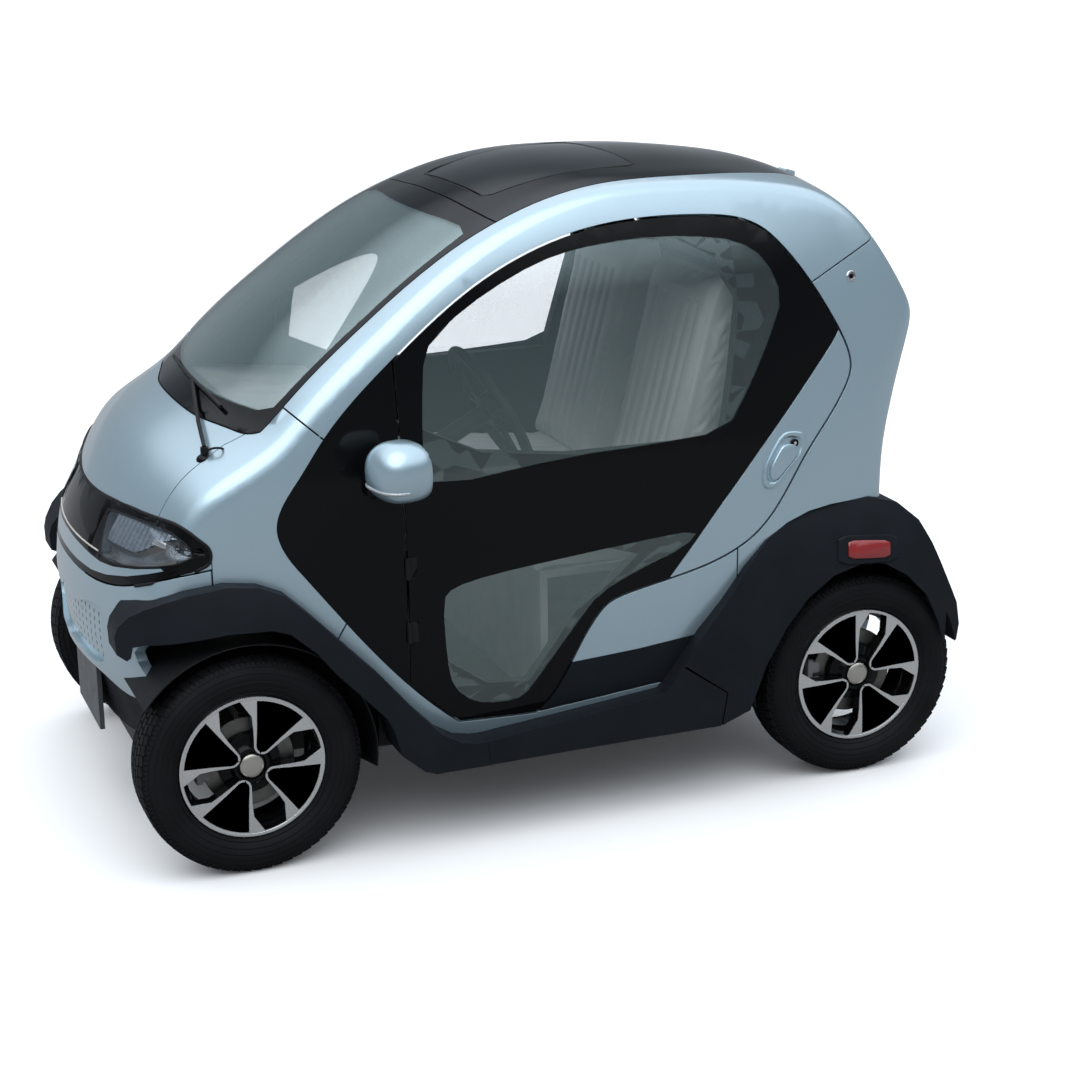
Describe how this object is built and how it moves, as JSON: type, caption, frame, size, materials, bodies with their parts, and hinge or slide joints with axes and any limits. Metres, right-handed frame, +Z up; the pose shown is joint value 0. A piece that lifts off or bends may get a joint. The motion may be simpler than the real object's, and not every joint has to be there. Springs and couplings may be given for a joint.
{
  "type": "electric microcar",
  "caption": "Small closed car with a rounded body, hinged glass doors, a rear hatch, covered wheels that steer and roll, and a cabin with side by side seats",
  "frame": {"origin": "on the ground under the middle of the overall box", "axes": "+X forward, +Y to the car's left, +Z up"},
  "size_m": [2.2523, 1.7698, 1.6091],
  "materials": {
    "body_paint": "silver blue metallic",
    "black_cladding": "textured black",
    "grey_plastic": "plain grey",
    "gloss_black": "gloss black",
    "lamp_glass": "clear lens",
    "red_lamp": "red lens",
    "dark_glass": "dark tinted",
    "glass": "clear",
    "matte_black": "matte black",
    "frame_steel": "black painted steel",
    "housing": "plain housing",
    "cabin_plastic": "light grey",
    "seat_cover": "light grey, stitched channels",
    "tyre": "black rubber",
    "wheel_alloy": "machined face with black windows"
  },
  "bodies": {
    "body": {"battery_block": "housing", "cabin_frame": "matte_black", "chassis_frame": "frame_steel", "dashboard": "cabin_plastic", "floor_tub": "matte_black", "front_bumper": "body_paint", "front_claddings": "black_cladding", "front_fenders": "body_paint", "front_quarters": "gloss_black", "front_suspension": "frame_steel", "grille_panel": "body_paint", "headlamps": "lamp_glass", "hood": "body_paint", "lamp_band": "gloss_black", "lower_black_panels": "black_cladding", "lower_bumper": "black_cladding", "lower_side_panels": "body_paint", "mirrors": "body_paint", "motor_block": "housing", "plate_bracket": "grey_plastic", "rear_axle": "frame_steel", "rear_bumper": "body_paint", "rear_fenders": "black_cladding", "rear_quarters": "body_paint", "roof_frame": "matte_black", "roof_panel": "gloss_black", "roof_rails": "body_paint", "seat_backs": "seat_cover", "seat_base": "cabin_plastic", "seat_cushions": "seat_cover", "sill_claddings": "black_cladding", "sill_strips": "body_paint", "steering_column": "matte_black", "tail_lamps": "red_lamp", "windshield": "glass", "wiper": "matte_black"},
    "door_left": {"door_frame_left": "matte_black", "door_glass_left": "glass", "door_strap_left": "body_paint"},
    "door_right": {"door_frame_right": "matte_black", "door_glass_right": "glass", "door_strap_right": "body_paint"},
    "hatch": {"rear_hatch": "body_paint", "hatch_glass": "glass"},
    "roof_lid": {"sunroof": "dark_glass"},
    "steering_left": {"knuckle_left": "frame_steel"},
    "steering_right": {"knuckle_right": "frame_steel"},
    "steering_handwheel": {"steering_wheel": "matte_black"},
    "wheel_front_left": {"rim_front_left": "wheel_alloy", "tyre_front_left": "tyre"},
    "wheel_front_right": {"rim_front_right": "wheel_alloy", "tyre_front_right": "tyre"},
    "wheel_rear_left": {"rim_rear_left": "wheel_alloy", "tyre_rear_left": "tyre"},
    "wheel_rear_right": {"rim_rear_right": "wheel_alloy", "tyre_rear_right": "tyre"}
  },
  "joints": [
    {"name": "door_left_hinge", "type": "hinge", "parent": "body", "child": "door_left", "pos_m": [0.4, 0.6455, 0.65], "axis": [0, 0, -1], "range_deg": [0, 62]},
    {"name": "door_right_hinge", "type": "hinge", "parent": "body", "child": "door_right", "pos_m": [0.4, -0.6455, 0.65], "axis": [0, 0, 1], "range_deg": [0, 62]},
    {"name": "hatch_hinge", "type": "hinge", "parent": "body", "child": "hatch", "pos_m": [-0.86498, 0, 1.53417], "axis": [0, 1, 0], "range_deg": [0, 75]},
    {"name": "roof_lid_hinge", "type": "hinge", "parent": "body", "child": "roof_lid", "pos_m": [0.04995, 0, 1.53657], "axis": [0, 1, 0], "range_deg": [0, 8]},
    {"name": "steer_left", "type": "hinge", "parent": "body", "child": "steering_left", "pos_m": [0.8, 0.56, 0.2735], "axis": [0, 0, 1], "range_deg": [-25, 25]},
    {"name": "steer_right", "type": "hinge", "parent": "body", "child": "steering_right", "pos_m": [0.8, -0.56, 0.2735], "axis": [0, 0, 1], "range_deg": [-25, 25]},
    {"name": "handwheel_turn", "type": "hinge", "parent": "body", "child": "steering_handwheel", "pos_m": [0.045, 0.265, 1], "axis": [-0.8829, 0, 0.4695], "range_deg": [-375, 375]},
    {"name": "spin_front_left", "type": "hinge", "parent": "steering_left", "child": "wheel_front_left", "pos_m": [0.8, 0.577, 0.2735], "axis": [0, 1, 0], "continuous": true},
    {"name": "spin_front_right", "type": "hinge", "parent": "steering_right", "child": "wheel_front_right", "pos_m": [0.8, -0.577, 0.2735], "axis": [0, 1, 0], "continuous": true},
    {"name": "spin_rear_left", "type": "hinge", "parent": "body", "child": "wheel_rear_left", "pos_m": [-0.84, 0.577, 0.2735], "axis": [0, 1, 0], "continuous": true},
    {"name": "spin_rear_right", "type": "hinge", "parent": "body", "child": "wheel_rear_right", "pos_m": [-0.84, -0.577, 0.2735], "axis": [0, 1, 0], "continuous": true}
  ],
  "couplings": [
    {"joint": "steer_right", "follows": "steer_left", "ratio": 1},
    {"joint": "handwheel_turn", "follows": "steer_left", "ratio": 15}
  ]
}
